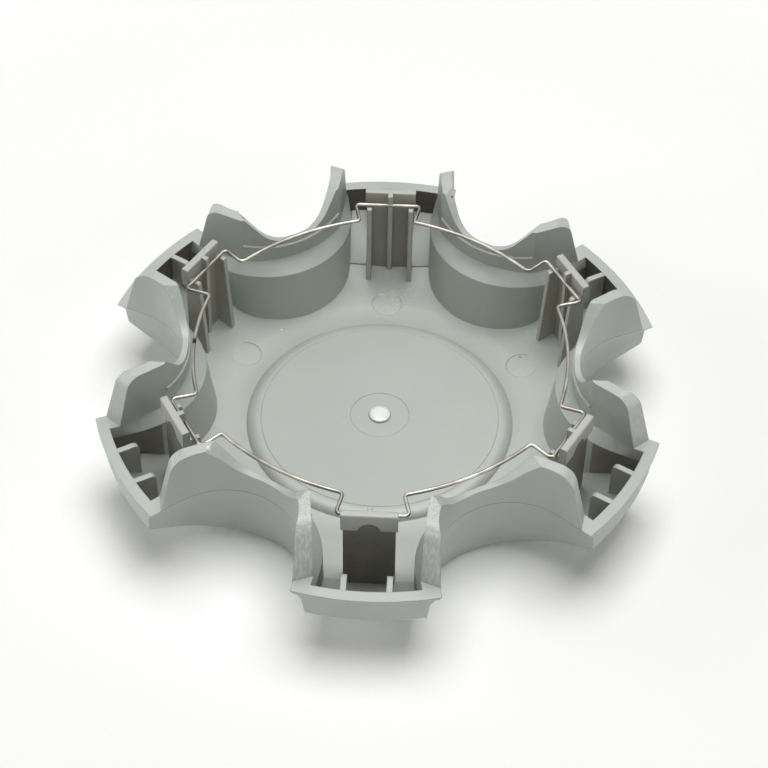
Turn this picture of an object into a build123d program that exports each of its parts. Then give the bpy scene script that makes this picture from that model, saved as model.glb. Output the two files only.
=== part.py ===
from build123d import *
import os
from math import asin, cos, radians, sin, sqrt, tan

# Wheel centre cap for a six-lug wheel, lying on its painted face with the fitting side up.
# Millimetres, Z up. Z is the axle's line, and Z = 0 is the flat ring of the painted face.
# A lobe's own frame has X outwards along the middle of the lobe, and the first lobe points along +Y.
# A slot's own frame has X outwards along the middle of the slot, half way between two lobes.
LOBES = 6
FIRST_LOBE = 90.0
PITCH = 360.0 / LOBES

# Skin: a flat ring round a recess for a badge, then a bend up to a cone
recess_radius = 36.0
recess_depth = 2.6
recess_draft = 0.4
recess_rounding = 0.6
cone_angle = 27.5
cone_foot_radius = 54.1
dome_bend_radius = 41.0
wall_radius = 79.7
wall_draft = 0.2
wall_thickness = 2.2
wall_edge_radius = 1.2
skin_thickness = 2.0
skin_middle = 1.3

# Parting plane, where the lobes' rims, the tops of the pockets and the feet of the fins meet
parting_height = 23.1
lip_radius = wall_radius + 1.2
lip_height = 1.4
lip_foot_rise = 0.5
lip_rounding = 0.4
wall_foot_radius = wall_radius - wall_thickness
rim_inner_radius = wall_foot_radius + wall_draft

# Inside of the skin: a plateau over the recess, a gutter, a step and the pocket floors
plateau_height = 5.1
plateau_radius = 35.0
plateau_rim = 0.7
plateau_rim_step = 0.12
plateau_draft = 0.7
plateau_cove_radius = 3.0
gutter_height = 2.5
floor_crease_radius = 45.0
floor_crease_height = 2.85
floor_step_radius = 47.0
floor_step_height = 3.4
floor_step_rounding = 0.6
floor_bend_angle = 5.0
floor_bend_radius = 22.0
floor_cove_radius = 0.8

# Lug slots, seen along the axle: an arc with two straight flanks that open outwards
lug_circle_radius = 69.85
lug_slot_centre = lug_circle_radius + 8.15
lug_slot_radius = 22.3
lug_slot_flare = 27.0
lug_slot_draft = 8.0
lug_slot_lip = 3.9
fin_slot_centre = lug_circle_radius + 5.95
fin_slot_radius = 19.9
fin_slot_flare = 22.0

# Pockets, seen along the axle: the slots' walls at the floor, under the bevel and at the parting plane
pocket_floor_radius = 22.7
pocket_floor_level = 2.0
pocket_bevel_centre = lug_circle_radius + 5.15
pocket_bevel_radius = 25.4
pocket_bevel_height = 3.2
pocket_flare = 22.0
pocket_knee_share = 0.4
fin_arc_centre = lug_circle_radius + 15.15
fin_arc_radius = 30.8
fin_crease_offset = 16.07
fin_foot_reach = wall_radius - 6.2
fin_foot_offset = 13.9
pocket_rim_offset = 15.6

# Fins, which stand on the slots' walls, with a round notch between them
top_height = 39.3
notch_height = parting_height + 6.6
notch_flat = 5.2
notch_radius = 10.0
notch_slope = 52.5
fin_end_lean = 15.0
fin_end_skew = 20.0
fin_end_radius = 5.0
fin_end_length = 14.0
bead_height = notch_height - 1.7
bead_rise = 1.4
bead_radius = 0.42
bead_sink = 0.27
bead_end_gap = 0.4

# Retainer plates, one on each lobe, with ribs inside and a catch block outside
plate_inner_reach = 61.2
plate_thickness = 2.2
plate_relief = 0.8
plate_width = 13.8
plate_height = top_height - 3.3
block_width = 15.0
block_height = 6.2
block_rounding = 0.5
block_notch_radius = 3.0
block_notch_depth = 1.5
rib_thickness = 1.4
rib_spacing = 12.4
rib_rounding = 0.6
rib_foot_reach = plate_inner_reach - 5.1
rib_top_reach = plate_inner_reach - 3.2
middle_rib_foot_reach = plate_inner_reach - 0.9
middle_rib_top_reach = plate_inner_reach - 1.7
floor_riser = 0.4
floor_riser_width = 25.2

# Retaining wire
wire_diameter = 1.05
wire_height = plate_height - 3.6
wire_clearance = 0.04
wire_channel_depth = 4.0
wire_seat_reach = plate_inner_reach - 1.4
wire_seat_half_width = 9.73
wire_knee_reach = wire_seat_reach - 7.16
wire_knee_offset = 8.03
wire_bow_radius = wire_seat_reach - 7.5
wire_bend_radius = 1.2
wire_turn = 0.7

# Ribs on the lobes' outer walls, ejector marks and the gate mark on the plateau
rim_rib_spacing = 12.0
rim_rib_thickness = 1.6
rim_rib_reach = rim_inner_radius - 6.2
rim_rib_gap = 0.1
rim_rib_corner = 1.5
ejector_radius = 4.5
ejector_reach = 47.3
ejector_height = 3.75
gate_radius = 3.25
gate_height = 0.6
gate_crown = 0.25
gate_rounding = 0.5
gate_ring_radius = 8.5
gate_ring_depth = 0.15

# How far a cut runs past the solid, and how far a piece reaches into the one that carries it
BEYOND = 3.0
OVERLAP = 1.0


def turned(point, angle):
    """A plan point turned about the axle."""
    x, y = point
    a = radians(angle)
    return (x * cos(a) - y * sin(a), x * sin(a) + y * cos(a))


def around(shape, first):
    """Copies of a shape at every lobe or every slot."""
    return [Rot(0, 0, first + PITCH * i) * shape for i in range(LOBES)]


def side_face(curve):
    """A closed line of radius and height as a face in the XZ plane."""
    return Plane.XZ * make_face(curve)


def cone_height(radius):
    """Height of the painted cone, carried on to any radius."""
    return (radius - cone_foot_radius) * tan(radians(cone_angle))


def floor_height(radius):
    """Height of the pockets' sloping floor, carried on to any radius."""
    return cone_height(radius) + skin_thickness


def outside_corners():
    """Corners of the outside, from the axle to the top of the lip, each with its rounding."""
    lip_foot = parting_height - lip_height
    return [
        ((0, recess_depth), 0),
        ((recess_radius - recess_draft, recess_depth), recess_rounding),
        ((recess_radius, 0), recess_rounding),
        ((cone_foot_radius, 0), dome_bend_radius),
        ((wall_radius, cone_height(wall_radius)), wall_edge_radius),
        ((wall_radius + wall_draft, lip_foot), 0),
        ((lip_radius, lip_foot + lip_foot_rise), lip_rounding),
    ]


def inside_corners():
    """Corners of the inside, from the rim's inner edge to the axle, each with its rounding."""
    rise = tan(radians(floor_bend_angle))
    slope = tan(radians(cone_angle))
    start = floor_step_height - floor_step_radius * rise
    bend = (start - floor_height(0)) / (slope - rise)
    rim = plateau_radius - plateau_rim
    low = plateau_height - plateau_rim_step
    return [
        ((rim_inner_radius, parting_height), 0),
        ((wall_foot_radius, floor_height(wall_foot_radius)), floor_cove_radius),
        ((bend, start + bend * rise), floor_bend_radius),
        ((floor_step_radius, floor_step_height), floor_step_rounding),
        ((floor_crease_radius, floor_crease_height), floor_step_rounding),
        ((plateau_radius + plateau_draft, gutter_height), plateau_cove_radius),
        ((plateau_radius, low), 0),
        ((rim, low), 0),
        ((rim, plateau_height), 0),
        ((0, plateau_height), 0),
    ]


def skin():
    """The domed face with the lobes' outer walls, as one turned shell."""
    corners = outside_corners() + [((lip_radius, parting_height), 0)] + inside_corners()
    curve = FilletPolyline([c[0] for c in corners], radius=[c[1] for c in corners], close=True)
    return revolve(side_face(curve), Axis.Z)


def core():
    """The room inside the cap down to the middle of the skin, which the walls and ribs are cut to."""
    reach = wall_foot_radius + wall_thickness / 2
    corners = [
        ((0, skin_middle), 0),
        ((cone_foot_radius, skin_middle), dome_bend_radius),
        ((reach, cone_height(reach) + skin_middle), 0),
        ((reach, top_height), 0),
        ((0, top_height), 0),
    ]
    curve = FilletPolyline([c[0] for c in corners], radius=[c[1] for c in corners], close=True)
    return revolve(side_face(curve), Axis.Z)


def slot_plan(centre, radius, flare, level, grow=0.0):
    """A slot seen along the axle, grown by an offset, in the slot's own frame."""
    r = radius + grow
    a = radians(flare)
    mouth = lip_radius + BEYOND
    tangent = (centre - r * sin(a), r * cos(a))
    end = (mouth, tangent[1] + (mouth - tangent[0]) * tan(a))
    mirrored = [(p[0], -p[1]) for p in (end, tangent)]
    arc = ThreePointArc(mirrored[1], (centre - r, 0), tangent)
    curve = Line(mirrored[0], mirrored[1]) + arc + Line(tangent, end) + Line(end, mirrored[0])
    return Pos(0, 0, level) * make_face(curve)


def slot_cut():
    """What a lug slot takes out: a tapered well, a bevel under the lip and a straight upper part."""
    lip_level = parting_height - lug_slot_lip
    grow = lug_slot_lip * tan(radians(lug_slot_draft))
    low_plan = slot_plan(lug_slot_centre, lug_slot_radius, lug_slot_flare, lip_level, grow)
    high_plan = slot_plan(fin_slot_centre, fin_slot_radius, fin_slot_flare, parting_height)
    well = extrude(low_plan, -(lip_level + BEYOND), taper=-lug_slot_draft)
    bevel = loft([low_plan, high_plan], ruled=True)
    upper = extrude(high_plan, top_height - parting_height + BEYOND)
    return well + bevel + upper


def pocket_plan(centre, radius, level):
    """A slot's wall as its two pockets see it, in the slot's own frame, at the floor or the bevel."""
    a = radians(pocket_flare)
    tangent = (centre - radius * sin(a), radius * cos(a))
    run = lip_radius - tangent[0]
    mouth = (lip_radius, tangent[1] + run * tan(a))
    knee = (tangent[0] + pocket_knee_share * run, tangent[1] + pocket_knee_share * run * tan(a))
    return wall_plan((centre - radius, 0), tangent, knee, mouth, level)


def rim_plan(level):
    """The same wall at the parting plane: an arc, a flat panel under the fin and the pocket's rim."""
    crease = (fin_arc_centre - sqrt(fin_arc_radius ** 2 - fin_crease_offset ** 2), fin_crease_offset)
    knee = turned((fin_foot_reach, -fin_foot_offset), PITCH / 2)
    mouth = turned((lip_radius + OVERLAP, -pocket_rim_offset), PITCH / 2)
    return wall_plan((fin_arc_centre - fin_arc_radius, 0), crease, knee, mouth, level)


def wall_plan(middle, tangent, knee, mouth, level):
    """A closed plan, the same on both sides, of an arc and two straight lines on each side."""
    half = [tangent, knee, mouth]
    other = [(p[0], -p[1]) for p in half]
    curve = ThreePointArc(other[0], middle, tangent)
    curve += Line(half[0], half[1]) + Line(half[1], half[2])
    curve += Line(other[0], other[1]) + Line(other[1], other[2])
    curve += Line(half[2], other[2])
    return Pos(0, 0, level) * make_face(curve)


def slot_wall():
    """The wall round one slot before the slot is cut: leaning, bevelled, then upright for the fins."""
    bevel_level = parting_height - pocket_bevel_height
    floor_plan = pocket_plan(lug_circle_radius, pocket_floor_radius, pocket_floor_level)
    bevel_plan = pocket_plan(pocket_bevel_centre, pocket_bevel_radius, bevel_level)
    top_plan = rim_plan(parting_height)
    leaning = loft([floor_plan, bevel_plan], ruled=True)
    bevelled = loft([bevel_plan, top_plan], ruled=True)
    upright = extrude(top_plan, top_height - parting_height)
    return leaning + bevelled + upright


def notch_cut():
    """The round notch between a slot's two fins, cut straight outwards."""
    a = radians(notch_slope)
    centre_height = notch_height + notch_radius
    arc_end = (notch_flat / 2 + notch_radius * sin(a), centre_height - notch_radius * cos(a))
    rise = top_height + BEYOND - arc_end[1]
    top = (arc_end[0] + rise / tan(a), top_height + BEYOND)
    arc_middle = (notch_flat / 2 + notch_radius * sin(a / 2), centre_height - notch_radius * cos(a / 2))
    curve = Line((-notch_flat / 2, notch_height), (notch_flat / 2, notch_height))
    for side in (1, -1):
        start, middle, end, corner = [
            (side * p[0], p[1]) for p in ((notch_flat / 2, notch_height), arc_middle, arc_end, top)
        ]
        curve += ThreePointArc(start, middle, end) + Line(end, corner)
    curve += Line(top, (-top[0], top[1]))
    return extrude(Plane.YZ * make_face(curve), lip_radius + BEYOND)


def fin_end_cut():
    """What lies outside a fin's leaning and rounded end, in the lobe's own frame."""
    lean = tan(radians(fin_end_lean))
    corner = (fin_foot_reach - (top_height - parting_height) * lean, top_height)
    outside = lip_radius + 3 * BEYOND
    points = [
        (fin_foot_reach, parting_height),
        corner,
        (corner[0] - 2 * fin_end_radius, top_height),
        (corner[0] - 2 * fin_end_radius, top_height + BEYOND),
        (outside, top_height + BEYOND),
        (outside, parting_height),
    ]
    curve = FilletPolyline(points, radius=[0, fin_end_radius, 0, 0, 0, 0], close=True)
    skew = Vector(sin(radians(fin_end_skew)), cos(radians(fin_end_skew)), 0)
    foot = Vector(0, fin_foot_offset, 0) - skew * BEYOND
    face = Pos(foot) * side_face(curve)
    cut = extrude(face, fin_end_length, dir=skew)
    return cut + mirror(cut, Plane.XZ)


def bead():
    """The fine raised line along the pocket side of the fins' wall, in the slot's own frame."""
    reach = fin_arc_radius + bead_radius - bead_sink
    angle = asin((fin_crease_offset - bead_end_gap) / fin_arc_radius)
    end_x = fin_arc_centre - reach * cos(angle)
    end_y = reach * sin(angle)
    ends = [(end_x, side * end_y, bead_height + bead_rise) for side in (-1, 1)]
    path = ThreePointArc(ends[0], (fin_arc_centre - reach, 0, bead_height), ends[1])
    section = Plane(origin=path @ 0, z_dir=path % 0) * RegularPolygon(bead_radius, 6)
    return sweep(section, path=path)


def plate():
    """A retainer plate and its catch block, in the lobe's own frame."""
    outer = plate_inner_reach + plate_thickness
    block_foot = plate_height - block_height
    blade_points = [
        (plate_inner_reach, skin_middle),
        (plate_inner_reach, plate_height - OVERLAP),
        (outer - plate_relief, plate_height - OVERLAP),
        (outer - plate_relief, skin_middle),
    ]
    blade = extrude(side_face(Polyline(blade_points, close=True)), plate_width / 2, both=True)
    block_points = [
        (plate_inner_reach, block_foot),
        (plate_inner_reach, plate_height),
        (outer, plate_height),
        (outer, block_foot),
    ]
    rounding = [0, block_rounding, block_rounding, block_rounding]
    block_face = side_face(FilletPolyline(block_points, radius=rounding, close=True))
    block = extrude(block_face, block_width / 2, both=True)
    notch = Pos(outer, 0, block_foot) * Rot(0, 90, 0) * Cylinder(block_notch_radius, 2 * block_notch_depth)
    return blade + (block - notch)


def wire_channel():
    """The room that the wire takes in the middle rib, open towards the axle."""
    radius = wire_diameter / 2 + wire_clearance
    length = rib_thickness + 2 * OVERLAP
    lane = Pos(wire_seat_reach, 0, wire_height) * Rot(90, 0, 0) * Cylinder(radius, length)
    mouth = Pos(wire_seat_reach - wire_channel_depth / 2, 0, wire_height)
    return lane + mouth * Box(wire_channel_depth, length, 2 * radius)


def plate_ribs():
    """Two deep ribs that carry the wire, and a shallow middle rib that holds it in a notch."""
    seat = wire_height - wire_diameter / 2 - wire_clearance
    back = plate_inner_reach + OVERLAP
    rounding = [0, rib_rounding, 0, 0]
    deep = [(rib_foot_reach, skin_middle), (rib_top_reach, seat), (back, seat), (back, skin_middle)]
    deep_face = side_face(FilletPolyline(deep, radius=rounding, close=True))
    deep_rib = extrude(deep_face, rib_thickness / 2, both=True)
    shallow = [(middle_rib_foot_reach, skin_middle), (middle_rib_top_reach, plate_height)]
    shallow += [(back, plate_height), (back, skin_middle)]
    shallow_face = side_face(FilletPolyline(shallow, radius=rounding, close=True))
    shallow_rib = extrude(shallow_face, rib_thickness / 2, both=True) - wire_channel()
    sides = [Pos(0, s * rib_spacing / 2, 0) * deep_rib for s in (-1, 1)]
    return sides + [shallow_rib]


def rim_ribs():
    """Two ribs down the inside of a lobe's outer wall, in the lobe's own frame."""
    top = parting_height - rim_rib_gap
    reach = rim_inner_radius + OVERLAP
    foot = cone_height(rim_rib_reach) + OVERLAP
    points = [(rim_rib_reach, foot), (rim_rib_reach, top), (reach, top), (reach, foot)]
    face = side_face(FilletPolyline(points, radius=[0, rim_rib_corner, 0, 0], close=True))
    rib = extrude(face, rim_rib_thickness / 2, both=True)
    return [Pos(0, s * rim_rib_spacing / 2, 0) * rib for s in (-1, 1)]


def floor_step():
    """The pocket's floor outside the plate, a little higher than in front of it."""
    ends = [(r, floor_height(r)) for r in (plate_inner_reach - OVERLAP, wall_radius)]
    points = [(r, h - OVERLAP) for r, h in ends] + [(r, h + floor_riser) for r, h in reversed(ends)]
    ring = revolve(side_face(Polyline(points, close=True)), Axis.Z)
    length = wall_radius - plate_inner_reach
    window = Pos(plate_inner_reach + length / 2, 0, top_height / 2)
    return ring & (window * Box(length, floor_riser_width, top_height))


def ejector_mark():
    """The flat round mark that an ejector pin leaves on the floor, in the lobe's own frame."""
    height = ejector_height - gutter_height + OVERLAP
    return Pos(ejector_reach, 0, ejector_height - height / 2) * Cylinder(ejector_radius, height)


def gate_mark():
    """The raised gate mark in the middle of the plateau."""
    foot = plateau_height - OVERLAP
    top = plateau_height + gate_height
    points = [(0, foot), (gate_radius, foot), (gate_radius, top), (0, top + gate_crown)]
    curve = FilletPolyline(points, radius=[0, 0, gate_rounding, 0], close=True)
    return revolve(side_face(curve), Axis.Z)


def gate_ring():
    """The shallow round sink about the gate mark."""
    return Pos(0, 0, plateau_height) * Cylinder(gate_ring_radius, 2 * gate_ring_depth)


def finished_wall():
    """One slot's wall with its notch, and with the ends of the fins cut on both lobes beside it."""
    ends = [Rot(0, 0, side * PITCH / 2) * fin_end_cut() for side in (-1, 1)]
    return (slot_wall() & core()) - notch_cut() - ends


def lobe_inside():
    """What stands inside one lobe, cut to the room inside the cap."""
    pieces = [plate(), floor_step(), ejector_mark()] + plate_ribs() + rim_ribs()
    return pieces[0].fuse(*pieces[1:]) & core()


def cap_moulding():
    """The whole moulding as one solid."""
    slots_from = FIRST_LOBE + PITCH / 2
    added = around(finished_wall(), slots_from) + around(lobe_inside(), FIRST_LOBE)
    body = (skin() - gate_ring()) + gate_mark() + added
    body = body - around(slot_cut(), slots_from)
    return body + around(bead(), slots_from)


def wire_line():
    """The wire's closed middle line: a straight seat, two legs and a bow for each lobe."""
    seat = (wire_seat_reach, wire_seat_half_width)
    knee = (wire_knee_reach, wire_knee_offset)
    points = []
    for i in range(LOBES):
        angle = FIRST_LOBE + wire_turn + PITCH * i
        for point in ((knee[0], -knee[1]), (seat[0], -seat[1]), seat, knee):
            points.append(turned(point, angle))
    return points


def wire_edges():
    """Seats, legs and bows joined by round bends, as edges in order."""
    points = wire_line()
    count = len(points)
    edges = []
    for i in range(count):
        start, end = points[i], points[(i + 1) % count]
        if i % 4 == 3:
            angle = FIRST_LOBE + wire_turn + PITCH * (i // 4 + 0.5)
            edges.append(ThreePointArc(start, turned((wire_bow_radius, 0), angle), end).edge())
        else:
            edges.append(Line(start, end).edge())
    return edges


def retaining_wire():
    """One closed ring of round spring wire."""
    flat = Wire(wire_edges())
    rounded = flat.fillet_2d(wire_bend_radius, flat.vertices())
    path = Pos(0, 0, wire_height) * rounded
    section = Plane(origin=path @ 0, z_dir=path % 0) * Circle(wire_diameter / 2)
    return sweep(section, path=path, transition=Transition.ROUND)


def write(name, shape):
    """Write one sub-part, named, as a STEP file."""
    shape.label = name
    export_step(shape, f"parts/{name}.step")


os.makedirs("parts", exist_ok=True)
write("cap_moulding", cap_moulding())
write("retaining_wire", retaining_wire())
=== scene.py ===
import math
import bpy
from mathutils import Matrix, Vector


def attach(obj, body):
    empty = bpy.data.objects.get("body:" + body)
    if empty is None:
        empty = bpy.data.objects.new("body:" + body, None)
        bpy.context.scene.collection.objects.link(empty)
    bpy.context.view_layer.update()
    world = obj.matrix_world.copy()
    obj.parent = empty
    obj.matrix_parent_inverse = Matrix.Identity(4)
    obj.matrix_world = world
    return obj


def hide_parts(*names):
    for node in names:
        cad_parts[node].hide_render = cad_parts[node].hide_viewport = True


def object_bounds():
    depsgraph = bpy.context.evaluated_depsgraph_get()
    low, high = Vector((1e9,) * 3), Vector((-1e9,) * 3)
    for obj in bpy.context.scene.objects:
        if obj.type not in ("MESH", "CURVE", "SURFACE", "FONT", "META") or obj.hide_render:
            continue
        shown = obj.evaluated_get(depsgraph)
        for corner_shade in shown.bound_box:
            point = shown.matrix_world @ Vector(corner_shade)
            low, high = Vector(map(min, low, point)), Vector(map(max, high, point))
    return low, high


bl_info = {
    "name": "Wheel Centre Cap",
    "version": (1, 0, 0),
    "blender": (4, 5, 0),
    "location": "View3D > Sidebar > Centre Cap",
    "description": "Finishes the moulded cap and its wire ring, and sets the stage for them",
    "category": "Object",
}

import bmesh
import bpy
from mathutils import Matrix, Vector

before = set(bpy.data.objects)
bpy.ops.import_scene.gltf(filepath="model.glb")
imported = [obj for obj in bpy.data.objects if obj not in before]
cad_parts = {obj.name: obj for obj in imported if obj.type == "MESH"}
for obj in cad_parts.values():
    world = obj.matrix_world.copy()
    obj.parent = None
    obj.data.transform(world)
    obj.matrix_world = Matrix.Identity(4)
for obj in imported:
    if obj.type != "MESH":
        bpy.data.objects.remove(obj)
cad_low, cad_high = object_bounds()
MM = 0.001

# The lobes' pattern: six of them, the first along +Y
LOBES = 6
FIRST_LOBE = math.radians(90)
FRONT_LOBE = math.radians(270)
PITCH = math.tau / LOBES

# Heights above the bench, in millimetres, from the fins' tops down to the floor
TOP = cad_high[2] / MM
FIN_TOP = TOP - 2.5
BLOCK_PAINT_FOOT = 31.5
BLOCK_FOOT = 29.8
PARTING = 23.1
FIN_FOOT = PARTING + 0.5
BEVEL_FOOT = 19.9
POCKET_CORNER = 13.0
FLOOR_TOP = 7.0
PLATEAU_EDGE = 4.98
EJECTOR_TOP = 3.75
STEP = 3.4
CREASE = 3.14
GUTTER = 2.5

# The floor's rise past the step, how far the ejector marks are sunk under it, and how little a mark
# stands over it where its edge is left alone
FLOOR_RISE = math.tan(math.radians(5))
EJECTOR_DEPTH = 0.2
EJECTOR_EDGE = 0.02

# Reaches of the plateau's shoulder and the floor from the axle, in millimetres
SHOULDER_TOP = 35.0
SHOULDER_FOOT = 38.6
CREASE_REACH = 45.0
STEP_REACH = 47.0
STEP_ROUNDING = 0.2
EJECTOR_REACH = 47.3
EJECTOR_RADIUS = 4.5

# Reaches along a lobe, in millimetres
PLATE_RIBS_FRONT = 55.0
PLATE_FACE = 61.2
POCKET_START = 62.0
PLATE_HOLLOW = 62.6
PLATE_BACK = 63.5
FIN_END = 65.5
POCKET_MIDDLE = 69.5
RIM_RIBS_FRONT = 71.3
RIM_INSIDE = 78.0

# Places and half widths across a lobe, in millimetres. The fins and the slots' walls lie outside
# their places
RIM_RIB_PLACE = 6.0
RIM_RIB_HALF_WIDTH = 0.9
PLATE_HALF_WIDTH = 7.6
FIN_PLACE = 8.6
SLOT_WALL_PLACE = 9.6
POCKET_HALF_WIDTH = 20.0
WALL_HALF_WIDTH = 22.0

# How far the middle of a face, the floor and a mark's top may lie from their planes, in millimetres
SLACK = 0.1
FLOOR_SLACK = 0.05
LEVEL_SLACK = 0.01

# How close vertices are merged, and how thin a face is dissolved, in millimetres
MERGE_REACH = 0.002
SLIVER_WIDTH = 0.001

# Cosines that tell which way a face looks
STRAIGHT = 0.9
INWARDS = 0.8
OUTWARDS = 0.6
UPRIGHT = 0.5
UPWARDS = 0.3
SLOTWARDS = 0.2

# How far each kind of face goes from paint to unpainted plastic: 0 is well painted, 0.5 thinly
# painted and 1 unpainted plastic. The unpainted colour is dark, so the plate's foot and hollow back
# and the pockets' walls also carry painted shade
PLATE_TOP_BARE = 0.5
PLATE_FOOT_BARE_IN_SHADE = 0.74
PLATE_BACK_BARE_IN_SHADOW = 0.92
BLOCK_BARE = 0.12
RIB_SIDE_BARE = 0.55
RIB_FRONT_BARE = 0.25
OUTER_WALL_BARE_IN_SHADE = 1.0
SIDE_WALL_BARE_IN_SHADE = 0.82

# How roughly the fins were trimmed
FRONT_CUT = 0.5
OTHER_CUT = 0.2

# Share of a spot's reach over which it is full, and where the paper starts and ends its turn to
# white, in millimetres from the axle
SPOT_MIDDLE = 0.45
PAPER_NEAR = 180.0
PAPER_FAR = 800.0

# Node settings that several masks share
TINT = {"data_type": "RGBA"}
MULTIPLY = {"operation": "MULTIPLY"}
SOFT = {"interpolation_type": "SMOOTHSTEP"}


def linear(value):
    """An sRGB hex colour as Blender's linear colour with full alpha."""
    parts = [int(value[i:i + 2], 16) / 255 for i in (1, 3, 5)]
    steps = [c / 12.92 if c <= 0.04045 else ((c + 0.055) / 1.055) ** 2.4 for c in parts]
    return (*steps, 1.0)


def add(tree, kind, settings=None, inputs=None, output=0):
    """Adds a node with its settings, fills or links its inputs, and returns an output, if any."""
    node = tree.nodes.new(kind)
    for name, value in (settings or {}).items():
        setattr(node, name, value)
    for name, value in (inputs or {}).items():
        if isinstance(value, bpy.types.NodeSocket):
            tree.links.new(value, node.inputs[name])
        else:
            node.inputs[name].default_value = value
    return node.outputs[output] if node.outputs else None


def new_material(name):
    """An empty node material and its tree."""
    material = bpy.data.materials.new(name)
    material.use_nodes = True
    material.node_tree.nodes.clear()
    return material, material.node_tree


def millimetres(tree):
    """Object coordinates in millimetres."""
    place = add(tree, "ShaderNodeTexCoord", output="Object")
    return add(tree, "ShaderNodeVectorMath", {"operation": "SCALE"}, {0: place, "Scale": 1 / MM})


def near(tree, place, middle, reach):
    """A mask round a point, full in the middle and gone at its reach."""
    away = add(tree, "ShaderNodeVectorMath", {"operation": "DISTANCE"}, {
        0: place, 1: middle}, "Value")
    return add(tree, "ShaderNodeMapRange", SOFT, {
        "Value": away, "From Min": SPOT_MIDDLE * reach, "From Max": reach,
        "To Min": 1.0, "To Max": 0.0})


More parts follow.
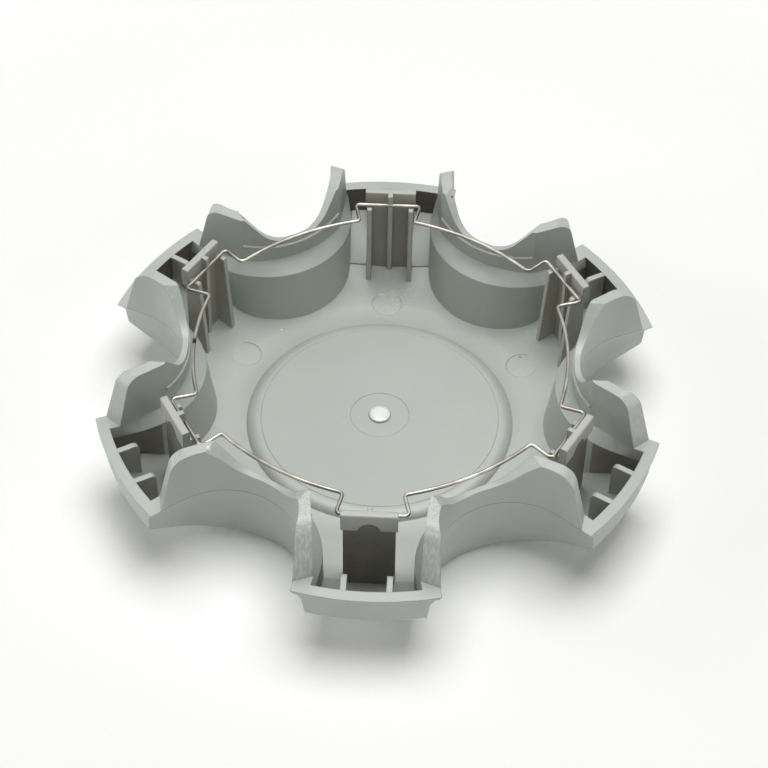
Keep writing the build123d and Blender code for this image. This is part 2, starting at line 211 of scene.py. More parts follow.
def silver_painted_abs(colours, finish):
    """Injection-moulded ABS under a thin sprayed coat of silver-grey paint. The eye sees a satin
    grey with a faint flow of lighter and darker patches and a fine grain. The warm unpainted
    plastic shows where the spray did not reach, darkened into painted shade on the pockets' deep
    faces and the plates' hollow backs; the pockets' floors get painted shade towards their corners;
    the fins are whitened where they were trimmed; and the gate mark carries a painted white
    highlight."""
    material, tree = new_material("silver_painted_abs")
    place = millimetres(tree)
    height = add(tree, "ShaderNodeSeparateXYZ", inputs={0: place}, output="Z")
    patches = add(tree, "ShaderNodeTexNoise", inputs={
        "Vector": place, "Scale": 1 / finish.patch_size, "Detail": 3.0})
    # The real grain is finer than 0.2 mm, and it is drawn coarser so that it shows
    specks = add(tree, "ShaderNodeTexNoise", inputs={
        "Vector": place, "Scale": 1 / finish.grain_size, "Detail": 2.0})

    # Painted shade on the pockets' floors, deepest in their corners
    shaded_pocket = add(tree, "ShaderNodeAttribute", {"attribute_name": "shaded_pocket"}, output="Fac")
    corner_shade = add(tree, "ShaderNodeMapRange", SOFT, {
        "Value": height, "From Min": FLOOR_TOP, "From Max": POCKET_CORNER,
        "To Min": finish.pocket_floor_shade, "To Max": finish.pocket_shade})
    pocket_painted_shade = add(tree, "ShaderNodeMath", MULTIPLY, {0: shaded_pocket, 1: corner_shade})

    # Thin paint up to a share of a half, and unpainted plastic past it, which is also painted shade
    # on the deep faces
    bare_and_shade = add(tree, "ShaderNodeAttribute", {"attribute_name": "bare_and_shade"}, output="Fac")
    uneven = add(tree, "ShaderNodeMapRange", None, {
        "Value": patches, "From Min": 0.3, "From Max": 0.65, "To Min": 0.9, "To Max": 1.0})
    bare_and_shade = add(tree, "ShaderNodeMath", MULTIPLY, {0: bare_and_shade, 1: uneven})
    thin, raw_in_shade = [
        add(tree, "ShaderNodeMapRange", None, {
            "Value": bare_and_shade, "From Min": start, "From Max": start + 0.5})
        for start in (0.0, 0.5)]

    # The line round the slots where the mould parts
    slot_wall = add(tree, "ShaderNodeAttribute", {"attribute_name": "parting"}, output="Fac")
    off = add(tree, "ShaderNodeMath", {"operation": "SUBTRACT"}, {0: height, 1: PARTING})
    off = add(tree, "ShaderNodeMath", {"operation": "ABSOLUTE"}, {0: off})
    line = add(tree, "ShaderNodeMapRange", SOFT, {
        "Value": off, "From Min": 0.0, "From Max": finish.parting_width,
        "To Min": 0.75, "To Max": 0.0})
    line = add(tree, "ShaderNodeMath", MULTIPLY, {0: slot_wall, 1: line})

    # Upright strokes where the fins were trimmed
    cut = add(tree, "ShaderNodeAttribute", {"attribute_name": "cut"}, output="Fac")
    stretch = (1 / finish.stroke_width, 1 / finish.stroke_width, 1 / finish.stroke_length)
    along = add(tree, "ShaderNodeVectorMath", MULTIPLY, {0: place, 1: stretch})
    strokes = add(tree, "ShaderNodeTexNoise", inputs={
        "Vector": along, "Scale": 1.0, "Detail": 3.0})
    drawn = add(tree, "ShaderNodeMapRange", SOFT, {
        "Value": strokes, "From Min": 0.4, "From Max": 0.68})
    torn = add(tree, "ShaderNodeMath", MULTIPLY, {0: cut, 1: drawn})

    # Edges rounded by the mould and rubbed pale in places
    soft = add(tree, "ShaderNodeBevel", {"samples": 6}, {"Radius": finish.edge_rounding * MM})
    plain = add(tree, "ShaderNodeNewGeometry", output="Normal")
    turn = add(tree, "ShaderNodeVectorMath", {"operation": "DOT_PRODUCT"}, {
        0: soft, 1: plain}, "Value")
    edge = add(tree, "ShaderNodeMapRange", SOFT, {
        "Value": turn, "From Min": 0.99, "From Max": 0.85, "To Max": finish.edge_wear})
    patchy = add(tree, "ShaderNodeMapRange", SOFT, {
        "Value": specks, "From Min": 0.4, "From Max": 0.6, "To Min": 0.3})
    edge = add(tree, "ShaderNodeMath", MULTIPLY, {0: edge, 1: patchy})

    # Scuffs on the floor, and the glossy gate mark with a painted white highlight on it
    blotches = add(tree, "ShaderNodeMapRange", SOFT, {
        "Value": specks, "From Min": 0.52, "From Max": 0.62, "To Max": finish.scuff_strength})
    scuff = near(tree, place, colours.scuff_place, finish.scuff_reach)
    scuff = add(tree, "ShaderNodeMath", MULTIPLY, {0: scuff, 1: blotches})
    gate_gloss_and_highlight = near(tree, place, (0, 0, colours.gate_height), finish.gate_reach)

    coats = [
        (pocket_painted_shade, colours.shaded_pocket), (thin, colours.thin), (raw_in_shade, colours.bare_and_shade), (line, colours.nick),
        (torn, colours.trimmed), (edge, colours.trimmed), (scuff, colours.trimmed)]
    for spot, reach in zip(colours.white_nick_places, finish.white_nick_reaches):
        coats.append((near(tree, place, spot, reach), colours.trimmed))
    for spot, reach in zip(colours.nick_places, finish.nick_reaches):
        coats.append((near(tree, place, spot, reach), colours.nick))
    # The gate mark's glare is a painted highlight: near-white colour over it
    coats.append((gate_gloss_and_highlight, colours.gate))
    colour = add(tree, "ShaderNodeMix", TINT, {
        0: patches, 6: linear(colours.paint_shade), 7: linear(colours.paint)}, 2)
    for share, tint in coats:
        colour = add(tree, "ShaderNodeMix", TINT, {0: share, 6: colour, 7: linear(tint)}, 2)

    rough = add(tree, "ShaderNodeMapRange", None, {
        "Value": patches, "From Min": 0.2, "From Max": 0.8,
        "To Min": finish.paint_roughness - finish.roughness_spread,
        "To Max": finish.paint_roughness + finish.roughness_spread})
    dull = add(tree, "ShaderNodeMix", None, {0: torn, 2: rough, 3: finish.cut_roughness})
    shine = add(tree, "ShaderNodeMix", None, {0: gate_gloss_and_highlight, 2: dull, 3: finish.gate_roughness})
    grain = add(tree, "ShaderNodeBump", inputs={
        "Strength": finish.grain_strength, "Distance": finish.grain_depth * MM,
        "Height": specks, "Normal": soft})
    depth = add(tree, "ShaderNodeMath", MULTIPLY, {0: cut, 1: finish.stroke_strength})
    scored = add(tree, "ShaderNodeBump", inputs={
        "Strength": depth, "Distance": finish.stroke_depth * MM,
        "Height": strokes, "Normal": grain})
    surface = add(tree, "ShaderNodeBsdfPrincipled", inputs={
        "Base Color": colour, "Roughness": shine, "Metallic": finish.paint_metal, "IOR": 1.5,
        "Normal": scored})
    add(tree, "ShaderNodeOutputMaterial", inputs={"Surface": surface})
    return material


def drawn_spring_steel(colours, finish):
    """Spring steel wire, drawn through a die and bent. The eye sees a dull bright line, warmer and
    darker in patches of old oil, with a burnt spot where its two ends are welded together."""
    material, tree = new_material("drawn_spring_steel")
    place = millimetres(tree)
    patches = add(tree, "ShaderNodeTexNoise", inputs={
        "Vector": place, "Scale": 1 / finish.wire_patch_size, "Detail": 3.0})
    clean = add(tree, "ShaderNodeMapRange", SOFT, {
        "Value": patches, "From Min": 0.3, "From Max": 0.7})
    colour = add(tree, "ShaderNodeMix", TINT, {
        0: clean, 6: linear(colours.wire_shade), 7: linear(colours.wire)}, 2)
    burnt = near(tree, place, colours.weld_place, finish.weld_reach)
    colour = add(tree, "ShaderNodeMix", TINT, {0: burnt, 6: colour, 7: linear(colours.weld)}, 2)
    rough = add(tree, "ShaderNodeMapRange", SOFT, {
        "Value": patches, "From Min": 0.3, "From Max": 0.7,
        "To Min": finish.wire_roughness + finish.wire_dulling, "To Max": finish.wire_roughness})
    # The die's lines are a few hundredths of a millimetre wide, and they are drawn coarser so
    # that they show
    lines = add(tree, "ShaderNodeTexNoise", inputs={
        "Vector": place, "Scale": 1 / finish.wire_grain_size})
    drawn = add(tree, "ShaderNodeBump", inputs={
        "Strength": finish.wire_grain_strength, "Distance": finish.grain_depth * MM,
        "Height": lines})
    surface = add(tree, "ShaderNodeBsdfPrincipled", inputs={
        "Base Color": colour, "Roughness": rough, "Metallic": 1.0, "Normal": drawn})
    add(tree, "ShaderNodeOutputMaterial", inputs={"Surface": surface})
    return material


def seamless_paper(colours):
    """Matt white background paper. The lens and the wire's reflections see it a little lighter than
    it is lit near the cap, where it keeps the shadow, and white far off, where it meets the white
    behind it."""
    material, tree = new_material("seamless_paper")
    paper = add(tree, "ShaderNodeBsdfPrincipled", inputs={
        "Base Color": linear(colours.paper), "Roughness": 0.95, "Specular IOR Level": 0.2})
    away = add(tree, "ShaderNodeVectorMath", {"operation": "LENGTH"}, {
        0: millimetres(tree)}, "Value")
    level = add(tree, "ShaderNodeMapRange", SOFT, {
        "Value": away, "From Min": PAPER_NEAR, "From Max": PAPER_FAR,
        "To Min": colours.paper_lift, "To Max": 1.0})
    level = add(tree, "ShaderNodeMath", MULTIPLY, {0: seen(tree), 1: level})
    lift = add(tree, "ShaderNodeEmission", inputs={"Strength": level})
    both = add(tree, "ShaderNodeAddShader", inputs={0: paper, 1: lift})
    add(tree, "ShaderNodeOutputMaterial", inputs={"Surface": both})
    return material


def seen(tree):
    """A mask for what the camera sees straight, mirrored or through something clear."""
    share = 0.0
    for ray in ("Is Camera Ray", "Is Glossy Ray", "Is Transmission Ray"):
        path = add(tree, "ShaderNodeLightPath", output=ray)
        share = add(tree, "ShaderNodeMath", {"operation": "MAXIMUM"}, {0: share, 1: path})
    return share


def in_lobe(point, facing):
    """A point, in millimetres, and a direction in their lobe's own frame, and that lobe's turn."""
    step = round((math.atan2(point.y, point.x) - FIRST_LOBE) / PITCH)
    turn = FIRST_LOBE + step * PITCH
    back = Matrix.Rotation(-turn, 3, "Z")
    return back @ point / MM, back @ facing, turn


def plate_shade_and_bare_share(place, facing):
    """How far a face of a retainer plate, its ribs or its catch block goes to unpainted plastic.
    The plate's foot is darker, and its hollow back holds painted shadow under the catch block.
    """
    out, across, up = place
    if facing.x < -STRAIGHT and out > PLATE_FACE - SLACK:
        return PLATE_TOP_BARE if up > BLOCK_PAINT_FOOT else PLATE_FOOT_BARE_IN_SHADE
    if facing.x > STRAIGHT and out < PLATE_HOLLOW + SLACK:
        return PLATE_BACK_BARE_IN_SHADOW
    if out > PLATE_FACE and up > BLOCK_FOOT:
        return BLOCK_BARE
    return RIB_SIDE_BARE if abs(facing.y) > STRAIGHT else RIB_FRONT_BARE


def shade_and_bare_share(place, facing):
    """How far any face goes to unpainted plastic: the plates, and the pockets' walls and ribs,
    got the least paint, and the deep walls of the pockets carry painted shade.
    """
    out, across, up = place
    width = abs(across)
    on_plate = PLATE_RIBS_FRONT < out < PLATE_BACK + SLACK and width < PLATE_HALF_WIDTH
    if on_plate and up > FLOOR_TOP:
        return plate_shade_and_bare_share(place, facing)
    in_pocket = POCKET_START < out < RIM_INSIDE and up <= PARTING - SLACK
    if abs(facing.z) >= UPRIGHT or not in_pocket:
        return 0.0
    if abs(width - RIM_RIB_PLACE) < RIM_RIB_HALF_WIDTH and out > RIM_RIBS_FRONT:
        return RIB_FRONT_BARE
    to_middle = (POCKET_MIDDLE - out) * facing.x - across * facing.y
    if to_middle <= 0 or width > POCKET_HALF_WIDTH:
        return 0.0
    # The pockets' deep walls get the dark unpainted colour as painted shade
    if facing.x < -INWARDS:
        return OUTER_WALL_BARE_IN_SHADE
    return SIDE_WALL_BARE_IN_SHADE if up < BEVEL_FOOT else 0.0


def pocket_share(place, facing):
    """Whether a face is part of the floor of one of the pockets, which carries painted shade: 0 or
    1.
    """
    out, across, up = place
    in_pocket = out > PLATE_FACE - SLACK and abs(across) < POCKET_HALF_WIDTH and up < BEVEL_FOOT
    return float(in_pocket and facing.z > UPWARDS)


def parting_share(point, facing, across):
    """Whether a face is part of a slot's outside, which shows where the mould parts: 0 or 1."""
    step = round(math.atan2(point.y, point.x) / PITCH) * PITCH
    way = Vector((math.cos(step), math.sin(step), 0))
    to_slot = facing.dot(way) > SLOTWARDS and abs(facing.z) < UPRIGHT
    return float(to_slot and abs(across) > SLOT_WALL_PLACE)


def cut_share(place, facing, turn):
    """How roughly a face was trimmed: the fins' ends and tops, most of all on the front lobe."""
    out, across, up = place
    if up < FIN_FOOT or abs(across) < FIN_PLACE:
        return 0.0
    on_end = facing.x > OUTWARDS and out > FIN_END
    on_top = facing.z > UPWARDS and up > FIN_TOP
    if not on_end and not on_top:
        return 0.0
    in_front = abs(math.remainder(turn - FRONT_LOBE, math.tau)) < PITCH / 2
    return FRONT_CUT if in_front else OTHER_CUT


def fill_shoulder(bm):
    """Turns the plateau's hollow edge into a full round one, from its rim down to the gutter."""
    wide = SHOULDER_FOOT - SHOULDER_TOP
    high = PLATEAU_EDGE - GUTTER
    for vertex in bm.verts:
        inwards = SHOULDER_FOOT - math.hypot(vertex.co.x, vertex.co.y) / MM
        down = PLATEAU_EDGE - vertex.co.z / MM
        if min(inwards, down) < 0 or math.hypot(inwards, down) > wide or vertex.normal.z < 0:
            continue
        turn = math.atan2(down, inwards)
        reach = SHOULDER_TOP + wide * math.sin(turn)
        way = math.atan2(vertex.co.y, vertex.co.x)
        flat = (reach * math.cos(way), reach * math.sin(way))
        vertex.co = Vector((*flat, GUTTER + high * math.cos(turn))) * MM


def floor_level(reach):
    """Height of the eased floor at a reach from the axle."""
    if reach < CREASE_REACH:
        share = (reach - SHOULDER_FOOT) / (CREASE_REACH - SHOULDER_FOOT)
        return GUTTER + (CREASE - GUTTER) * share
    if reach < STEP_REACH:
        share = (reach - CREASE_REACH) / (STEP_REACH - CREASE_REACH)
        return CREASE + (STEP - CREASE) * share
    return STEP + (reach - STEP_REACH) * FLOOR_RISE


def ease_floor(bm):
    """Takes the floor from the shoulder's foot to the lobes in one even slope, and sinks the
    ejector marks a little under it."""
    for vertex in bm.verts:
        reach = math.hypot(vertex.co.x, vertex.co.y) / MM
        (out, across, up), facing, turn = in_lobe(vertex.co, vertex.normal)
        level = floor_level(reach)
        from_mark = math.hypot(out - EJECTOR_REACH, across)
        on_floor = GUTTER - FLOOR_SLACK < up < STEP + FLOOR_SLACK
        if abs(up - EJECTOR_TOP) < LEVEL_SLACK and from_mark < EJECTOR_RADIUS + SLACK:
            # The mark's edge stays where the mark runs into the rising floor
            if level < EJECTOR_TOP - EJECTOR_EDGE:
                vertex.co.z = (level - EJECTOR_DEPTH) * MM
        elif SHOULDER_FOOT < reach < STEP_REACH + STEP_ROUNDING and on_floor:
            vertex.co.z = level * MM


def split(bm, faces, point, direction):
    """Cuts some of a mesh's faces in two along a plane."""
    rims = {edge for face in faces for edge in face.edges}
    corners = {vertex for face in faces for vertex in face.verts}
    geometry = [*faces, *rims, *corners]
    bmesh.ops.bisect_plane(bm, geom=geometry, plane_co=point, plane_no=direction)


def part_coats(bm):
    """Splits the faces on which paint meets unpainted plastic and painted shade: the plates' inner
    faces under the catch block, and the pockets' side walls in line with the plates."""
    plates = []
    walls = {}
    for face in bm.faces:
        (out, across, up), facing, turn = in_lobe(face.calc_center_median(), face.normal)
        width = abs(across)
        on_face = PLATE_FACE - SLACK < out < PLATE_BACK and width < PLATE_HALF_WIDTH
        by_wall = PLATE_RIBS_FRONT < out < RIM_INSIDE and up < PARTING
        if on_face and facing.x < -STRAIGHT:
            plates.append(face)
        elif by_wall and PLATE_HALF_WIDTH < width < WALL_HALF_WIDTH:
            walls.setdefault(round(turn, 3), []).append(face)
    split(bm, plates, Vector((0, 0, BLOCK_PAINT_FOOT)) * MM, (0, 0, 1))
    for turn, faces in walls.items():
        way = Vector((math.cos(turn), math.sin(turn), 0))
        split(bm, faces, way * POCKET_START * MM, way)


def mark_coverage(bm):
    """Marks each face with its share of unpainted plastic and painted shade, the pockets' floors,
    which get painted shade, slot wall and trimming.
    """
    bare_and_shade = bm.faces.layers.float.new("bare_and_shade")
    shaded_pocket = bm.faces.layers.float.new("shaded_pocket")
    parting = bm.faces.layers.float.new("parting")
    cut = bm.faces.layers.float.new("cut")
    for face in bm.faces:
        middle = face.calc_center_median()
        place, facing, turn = in_lobe(middle, face.normal)
        face[bare_and_shade] = shade_and_bare_share(place, facing)
        face[shaded_pocket] = pocket_share(place, facing)
        face[parting] = parting_share(middle, face.normal, place.y)
        face[cut] = cut_share(place, facing, turn)


def finished_copy(node, name, smooth_angle, steps=()):
    """A copy of a CAD node, merged, taken through its steps and smooth over gentle turns."""
    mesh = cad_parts[node].data.copy()
    mesh.name = name
    mesh.materials.clear()
    bm = bmesh.new()
    bm.from_mesh(mesh)
    bmesh.ops.remove_doubles(bm, verts=bm.verts[:], dist=MERGE_REACH * MM)
    bmesh.ops.dissolve_degenerate(bm, edges=bm.edges[:], dist=SLIVER_WIDTH * MM)
    for step in steps:
        bm.normal_update()
        step(bm)
    bm.normal_update()
    for face in bm.faces:
        face.smooth = True
    for edge in bm.edges:
        edge.smooth = edge.is_manifold and edge.calc_face_angle(0.0) < smooth_angle
    bm.to_mesh(mesh)
    bm.free()
    if mesh.has_custom_normals:
        mesh.attributes.remove(mesh.attributes["custom_normal"])
    piece = bpy.data.objects.new(name, mesh)
    bpy.context.scene.collection.objects.link(piece)
    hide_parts(node)
    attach(piece, "root")
    return piece


class CapFinish(bpy.types.PropertyGroup):
    """Sizes and strengths of the surfaces' detail, with sizes in millimetres."""

    edge_rounding: bpy.props.FloatProperty(
        name="Edge rounding", description="Radius of the moulding's softened edges, in mm",
        default=0.4, min=0.0, max=1.0)
    edge_wear: bpy.props.FloatProperty(
        name="Edge wear", description="How far the edges are rubbed pale",
        default=0.15, min=0.0, max=1.0, subtype="FACTOR")
    smooth_angle: bpy.props.FloatProperty(
        name="Smooth angle",
        description="Faces of the moulding that meet at less than this are shaded as one",
        default=math.radians(24), subtype="ANGLE")
    patch_size: bpy.props.FloatProperty(
        name="Patch size", description="Width of the paint's lighter and darker patches, in mm",
        default=14.0, min=1.0)
    grain_size: bpy.props.FloatProperty(
        name="Grain size",
        description="Width of the paint's grain, drawn coarse so that it shows, in mm",
        default=0.9, min=0.1)
    grain_strength: bpy.props.FloatProperty(
        name="Grain strength", description="How far the paint's grain shows",
        default=0.25, min=0.0, max=1.0, subtype="FACTOR")
    grain_depth: bpy.props.FloatProperty(
        name="Grain depth", description="Depth of the paint's and the wire's grain, in mm",
        default=0.02, min=0.0)
    parting_width: bpy.props.FloatProperty(
        name="Parting width",
        description="Half the width of the mould's parting line, drawn coarse, in mm",
        default=0.22, min=0.02)
    # Painted shade: how far the pockets' far corners are darkened
    pocket_shade: bpy.props.FloatProperty(
        name="Pocket shade", description="How far the paint fails in the pockets' far corners",
        default=0.45, min=0.0, max=1.0, subtype="FACTOR")
    # Painted shade: how far the pockets' floors are darkened
    pocket_floor_shade: bpy.props.FloatProperty(
        name="Pocket floor shade", description="How far it fails on the pockets' floors",
        default=0.315, min=0.0, max=1.0, subtype="FACTOR")
    scuff_reach: bpy.props.FloatProperty(
        name="Scuff reach", description="Reach of the scuffs in front of a plate, in mm",
        default=8.0, min=0.1)
    scuff_strength: bpy.props.FloatProperty(
        name="Scuff strength", description="How pale those scuffs are",
        default=0.22, min=0.0, max=1.0, subtype="FACTOR")
    stroke_width: bpy.props.FloatProperty(
        name="Stroke width", description="Width of the strokes left by trimming, in mm",
        default=0.55, min=0.1)
    stroke_length: bpy.props.FloatProperty(
        name="Stroke length", description="Length of the strokes left by trimming, in mm",
        default=11.0, min=0.1)
    stroke_depth: bpy.props.FloatProperty(
        name="Stroke depth", description="Depth of the strokes left by trimming, in mm",
        default=0.12, min=0.0)
    stroke_strength: bpy.props.FloatProperty(
        name="Stroke strength", description="How far the strokes show where a fin was trimmed",
        default=0.6, min=0.0, max=1.0, subtype="FACTOR")
    nick_reaches: bpy.props.FloatVectorProperty(
        name="Nick reaches", description="Reach of each dirty nick from its middle, in mm",
        size=3, default=(0.8, 0.5, 0.45))
    white_nick_reaches: bpy.props.FloatVectorProperty(
        name="White nick reaches", description="Reach of each white nick from its middle, in mm",
        size=2, default=(0.9, 0.5))
    paint_roughness: bpy.props.FloatProperty(
        name="Paint roughness", description="Roughness of the satin paint",
        default=0.45, min=0.0, max=1.0, subtype="FACTOR")
    roughness_spread: bpy.props.FloatProperty(
        name="Roughness spread", description="How far that roughness varies from patch to patch",
        default=0.05, min=0.0, max=0.5, subtype="FACTOR")
    paint_metal: bpy.props.FloatProperty(
        name="Paint metal", description="Share of metal flake in the paint",
        default=0.1, min=0.0, max=1.0, subtype="FACTOR")
    cut_roughness: bpy.props.FloatProperty(
        name="Cut roughness", description="Roughness of the plastic where it was trimmed",
        default=0.7, min=0.0, max=1.0, subtype="FACTOR")
    gate_roughness: bpy.props.FloatProperty(
        name="Gate roughness", description="Roughness of the glossy gate mark",
        default=0.12, min=0.0, max=1.0, subtype="FACTOR")
    gate_reach: bpy.props.FloatProperty(
        name="Gate reach", description="Reach of the gate mark's gloss from its middle, in mm",
        default=3.8, min=0.1)
    wire_smooth_angle: bpy.props.FloatProperty(
        name="Wire smooth angle",
        description="Faces of the wire that meet at less than this are shaded as one",
        default=math.radians(60), subtype="ANGLE")
    wire_roughness: bpy.props.FloatProperty(
        name="Wire roughness", description="Roughness of the drawn wire",
        default=0.28, min=0.0, max=1.0, subtype="FACTOR")
    wire_dulling: bpy.props.FloatProperty(
        name="Wire dulling", description="How much rougher the wire's oily patches are",
        default=0.1, min=0.0, max=0.5, subtype="FACTOR")
    wire_patch_size: bpy.props.FloatProperty(
        name="Wire patch size", description="Length of the wire's duller patches, in mm",
        default=6.0, min=0.5)
    wire_grain_size: bpy.props.FloatProperty(
        name="Wire grain size", description="Width of the wire's fine grain, drawn coarse, in mm",
        default=0.35, min=0.05)
    wire_grain_strength: bpy.props.FloatProperty(
        name="Wire grain strength", description="How far the wire's grain shows",
        default=0.3, min=0.0, max=1.0, subtype="FACTOR")
    weld_reach: bpy.props.FloatProperty(
        name="Weld reach", description="Reach of the burnt spot on the wire, in mm",
        default=1.5, min=0.1)


class CapColours(bpy.types.PropertyGroup):
    """Colours as sRGB hex values, and the places of the marks, in millimetres."""

    paint: bpy.props.StringProperty(
        name="Paint", description="Silver-grey paint", default="#B6BBB5")
    paint_shade: bpy.props.StringProperty(
        name="Paint shade", description="Silver-grey paint where it is thinner", default="#ADB2AC")
    thin: bpy.props.StringProperty(
        name="Thin paint", description="Paint so thin that the plastic warms it",
        default="#B0AEA3")
    # This dark warm colour is also painted shade on the deep faces of the pockets and plates
    bare_and_shade: bpy.props.StringProperty(
        name="Bare plastic", description="Warm raw plastic that the paint missed",
        default="#625E51")
    # Painted shade: a darker grey for the pockets' floors and corners
    shaded_pocket: bpy.props.StringProperty(
        name="Pocket", description="Thin dry paint in the pockets' corners", default="#757875")
    trimmed: bpy.props.StringProperty(
        name="Trimmed plastic", description="Plastic whitened where it was cut or rubbed",
        default="#DCDFD9")
    nick: bpy.props.StringProperty(
        name="Nick", description="Dirt in the small nicks on the fins and in the parting line",
        default="#3E3B34")
    nick_places: bpy.props.FloatVectorProperty(
        name="Nick places", description="Where the fins are nicked and the floor is marked",
        size=(3, 3), default=((-42.4, 44.6, 38.9), (18.3, 58.9, 37.6), (40.6, 27.0, 3.2)))
    white_nick_places: bpy.props.FloatVectorProperty(
        name="White nick places", description="Where a fin and the floor are marked white",
        size=(2, 3), default=((-43.2, -45.1, 39.1), (-31.3, 34.3, 3.1)))
    scuff_place: bpy.props.FloatVectorProperty(
        name="Scuff place", description="Middle of the scuffs on the floor",
        default=(3.0, 50.5, 4.5))
    # Painted highlight: the gate mark's glare as near-white colour
    gate: bpy.props.StringProperty(
        name="Gate mark", description="Glossy white plastic at the gate", default="#F6F7F4")
    gate_height: bpy.props.FloatProperty(
        name="Gate height", description="Height of the gate mark's top, in mm", default=5.9)
    wire: bpy.props.StringProperty(
        name="Wire", description="Bright spring steel", default="#AEAAA0")
    wire_shade: bpy.props.StringProperty(
        name="Wire shade", description="Duller spring steel", default="#827E75")
    weld: bpy.props.StringProperty(
        name="Weld", description="Burnt steel at the wire's joint", default="#2A2823")
    weld_place: bpy.props.FloatVectorProperty(
        name="Weld place", description="Where the wire's two ends meet, in mm",
        default=(-52.3, -0.3, 32.4))
    paper: bpy.props.StringProperty(
        name="Paper", description="White background paper", default="#FDFDFC")
    paper_lift: bpy.props.FloatProperty(
        name="Paper lift", description="Light added to the paper for the lens alone",
        default=0.05, min=0.0, max=1.0)


class StageSettings(bpy.types.PropertyGroup):
    """The paper's size, the camera's place and lens, and the lamps."""

    paper_reach: bpy.props.FloatProperty(
        name="Paper reach", description="From the axle to each edge of the paper",
        default=3.0, unit="LENGTH")
    target: bpy.props.FloatVectorProperty(
        name="Target", description="Point in the middle of the picture",
        default=(0.00064, 0.01271, 0.0045), subtype="TRANSLATION", unit="LENGTH")
    distance: bpy.props.FloatProperty(
        name="Distance", description="From the target to the camera",
        default=0.6034, unit="LENGTH")
    elevation: bpy.props.FloatProperty(
        name="Elevation", description="Height of the view over the bench",
        default=math.radians(47.07), subtype="ANGLE")
    azimuth: bpy.props.FloatProperty(
        name="Azimuth", description="Turn of the view about the axle",
        default=math.radians(1.90), subtype="ANGLE")
    roll: bpy.props.FloatProperty(
        name="Roll", description="Tilt of the picture",
        default=math.radians(1.07), subtype="ANGLE")
    lens: bpy.props.FloatProperty(
        name="Lens", description="Focal length, in mm", default=96.33)
    sensor: bpy.props.FloatProperty(
        name="Sensor", description="Width of the camera's sensor, in mm", default=36.0)
    room_light: bpy.props.FloatProperty(
        name="Room light", description="Strength of the even light from all round",
        default=0.03, min=0.0)
    softbox: bpy.props.FloatProperty(
        name="Softbox", description="Width of each softbox", default=0.7, unit="LENGTH")
    overhead: bpy.props.FloatProperty(
        name="Overhead", description="Power of the softbox overhead", default=8.8, unit="POWER")
    overhead_place: bpy.props.FloatVectorProperty(
        name="Overhead place", description="Where the softbox overhead hangs",
        default=(0.05, 0.16, 0.98), subtype="TRANSLATION", unit="LENGTH")
    left: bpy.props.FloatProperty(
        name="Left", description="Power of the low softbox on the left",
        default=4.0, unit="POWER")
    left_place: bpy.props.FloatVectorProperty(
        name="Left place", description="Where the softbox on the left stands",
        default=(-0.96, -0.08, 0.27), subtype="TRANSLATION", unit="LENGTH")
    right: bpy.props.FloatProperty(
        name="Right", description="Power of the low softbox on the right",
        default=1.9, unit="POWER")
    right_place: bpy.props.FloatVectorProperty(
        name="Right place", description="Where the softbox on the right stands",
        default=(0.86, -0.44, 0.26), subtype="TRANSLATION", unit="LENGTH")
    front: bpy.props.FloatProperty(
        name="Front", description="Power of the low softbox in front",
        default=0.9, unit="POWER")
    front_place: bpy.props.FloatVectorProperty(
        name="Front place", description="Where the softbox in front stands",
        default=(0.0, -0.96, 0.27), subtype="TRANSLATION", unit="LENGTH")


class CAP_OT_moulding(bpy.types.Operator):
    """Finish the cap moulding"""

    bl_idname = "cap.moulding"
    bl_label = "Cap Moulding"

    def execute(self, context):
        finish = context.scene.cap_finish
        steps = (fill_shoulder, ease_floor, part_coats, mark_coverage)
        piece = finished_copy("cap_moulding", "moulding", finish.smooth_angle, steps)
        piece.data.materials.append(silver_painted_abs(context.scene.cap_colours, finish))
        return {"FINISHED"}


class CAP_OT_wire(bpy.types.Operator):
    """Finish the retaining wire"""

    bl_idname = "cap.wire"
    bl_label = "Retaining Wire"

    def execute(self, context):
        finish = context.scene.cap_finish
        piece = finished_copy("retaining_wire", "wire_ring", finish.wire_smooth_angle)
        piece.data.materials.append(drawn_spring_steel(context.scene.cap_colours, finish))
        return {"FINISHED"}


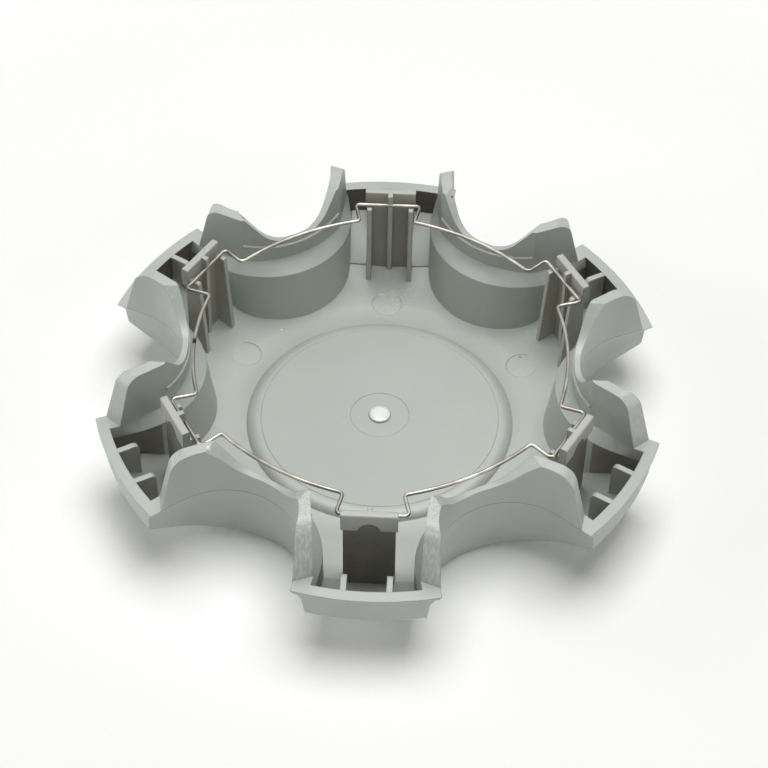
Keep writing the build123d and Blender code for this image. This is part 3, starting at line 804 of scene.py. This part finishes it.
class CAP_OT_stage(bpy.types.Operator):
    """Set the paper, the lamps and the camera"""

    bl_idname = "cap.stage"
    bl_label = "Stage"

    def execute(self, context):
        scene = context.scene
        stage = scene.cap_stage
        self.lay_paper(scene, stage)
        self.light_room(scene, stage)
        self.hang_softbox(scene, "overhead", stage.overhead, stage.overhead_place)
        self.hang_softbox(scene, "left", stage.left, stage.left_place)
        self.hang_softbox(scene, "right", stage.right, stage.right_place)
        self.hang_softbox(scene, "front", stage.front, stage.front_place)
        self.place_camera(scene, stage)
        scene.view_settings.view_transform = "Standard"
        return {"FINISHED"}

    def lay_paper(self, scene, stage):
        """Lays the background paper under the cap."""
        bm = bmesh.new()
        bmesh.ops.create_grid(bm, x_segments=1, y_segments=1, size=stage.paper_reach)
        mesh = bpy.data.meshes.new("paper")
        bm.to_mesh(mesh)
        bm.free()
        mesh.materials.append(seamless_paper(scene.cap_colours))
        paper = bpy.data.objects.new("paper", mesh)
        scene.collection.objects.link(paper)

    def light_room(self, scene, stage):
        """Lights the room evenly, and shows the lens a white one."""
        world = bpy.data.worlds.new("room")
        scene.world = world
        world.use_nodes = True
        tree = world.node_tree
        tree.nodes.clear()
        level = add(tree, "ShaderNodeMapRange", inputs={
            "Value": seen(tree), "To Min": stage.room_light})
        back = add(tree, "ShaderNodeBackground", inputs={
            "Color": (1, 1, 1, 1), "Strength": level})
        add(tree, "ShaderNodeOutputWorld", inputs={"Surface": back})

    def hang_softbox(self, scene, name, power, place):
        """Hangs one softbox, turned to the cap."""
        lamp = bpy.data.lights.new(name, "AREA")
        lamp.shape = "SQUARE"
        lamp.size = scene.cap_stage.softbox
        lamp.energy = power
        holder = bpy.data.objects.new(name, lamp)
        holder.location = place
        holder.rotation_euler = (-Vector(place)).to_track_quat("-Z", "Y").to_euler()
        scene.collection.objects.link(holder)

    def place_camera(self, scene, stage):
        """Places the camera where the photograph was taken from."""
        lens = bpy.data.cameras.new("camera")
        lens.lens = stage.lens
        lens.sensor_width = stage.sensor
        camera = bpy.data.objects.new("camera", lens)
        a, e, r = stage.azimuth, stage.elevation, stage.roll
        ahead = -Vector((math.sin(a) * math.cos(e), -math.cos(a) * math.cos(e), math.sin(e)))
        right = ahead.cross(Vector((0, 0, 1))).normalized()
        up = right.cross(ahead)
        across = math.cos(r) * right + math.sin(r) * up
        above = math.cos(r) * up - math.sin(r) * right
        place = Vector(stage.target) - ahead * stage.distance
        turn = Matrix((across, above, -ahead)).transposed().to_4x4()
        camera.matrix_world = Matrix.Translation(place) @ turn
        scene.collection.objects.link(camera)
        scene.camera = camera


class CAP_PT_panel(bpy.types.Panel):
    """Lists the cap's pieces and its stage"""

    bl_label = "Centre Cap"
    bl_idname = "CAP_PT_panel"
    bl_space_type = "VIEW_3D"
    bl_region_type = "UI"
    bl_category = "Centre Cap"

    def draw(self, context):
        for operator in (CAP_OT_moulding, CAP_OT_wire, CAP_OT_stage):
            self.layout.operator(operator.bl_idname)


CLASSES = (
    CapFinish, CapColours, StageSettings,
    CAP_OT_moulding, CAP_OT_wire, CAP_OT_stage, CAP_PT_panel)


def register():
    for item in CLASSES:
        bpy.utils.register_class(item)
    bpy.types.Scene.cap_finish = bpy.props.PointerProperty(type=CapFinish)
    bpy.types.Scene.cap_colours = bpy.props.PointerProperty(type=CapColours)
    bpy.types.Scene.cap_stage = bpy.props.PointerProperty(type=StageSettings)


def unregister():
    del bpy.types.Scene.cap_stage
    del bpy.types.Scene.cap_colours
    del bpy.types.Scene.cap_finish
    for item in reversed(CLASSES):
        bpy.utils.unregister_class(item)


def main():
    register()
    bpy.ops.cap.moulding()
    bpy.ops.cap.wire()
    bpy.ops.cap.stage()


if __name__ == "__main__":
    main()
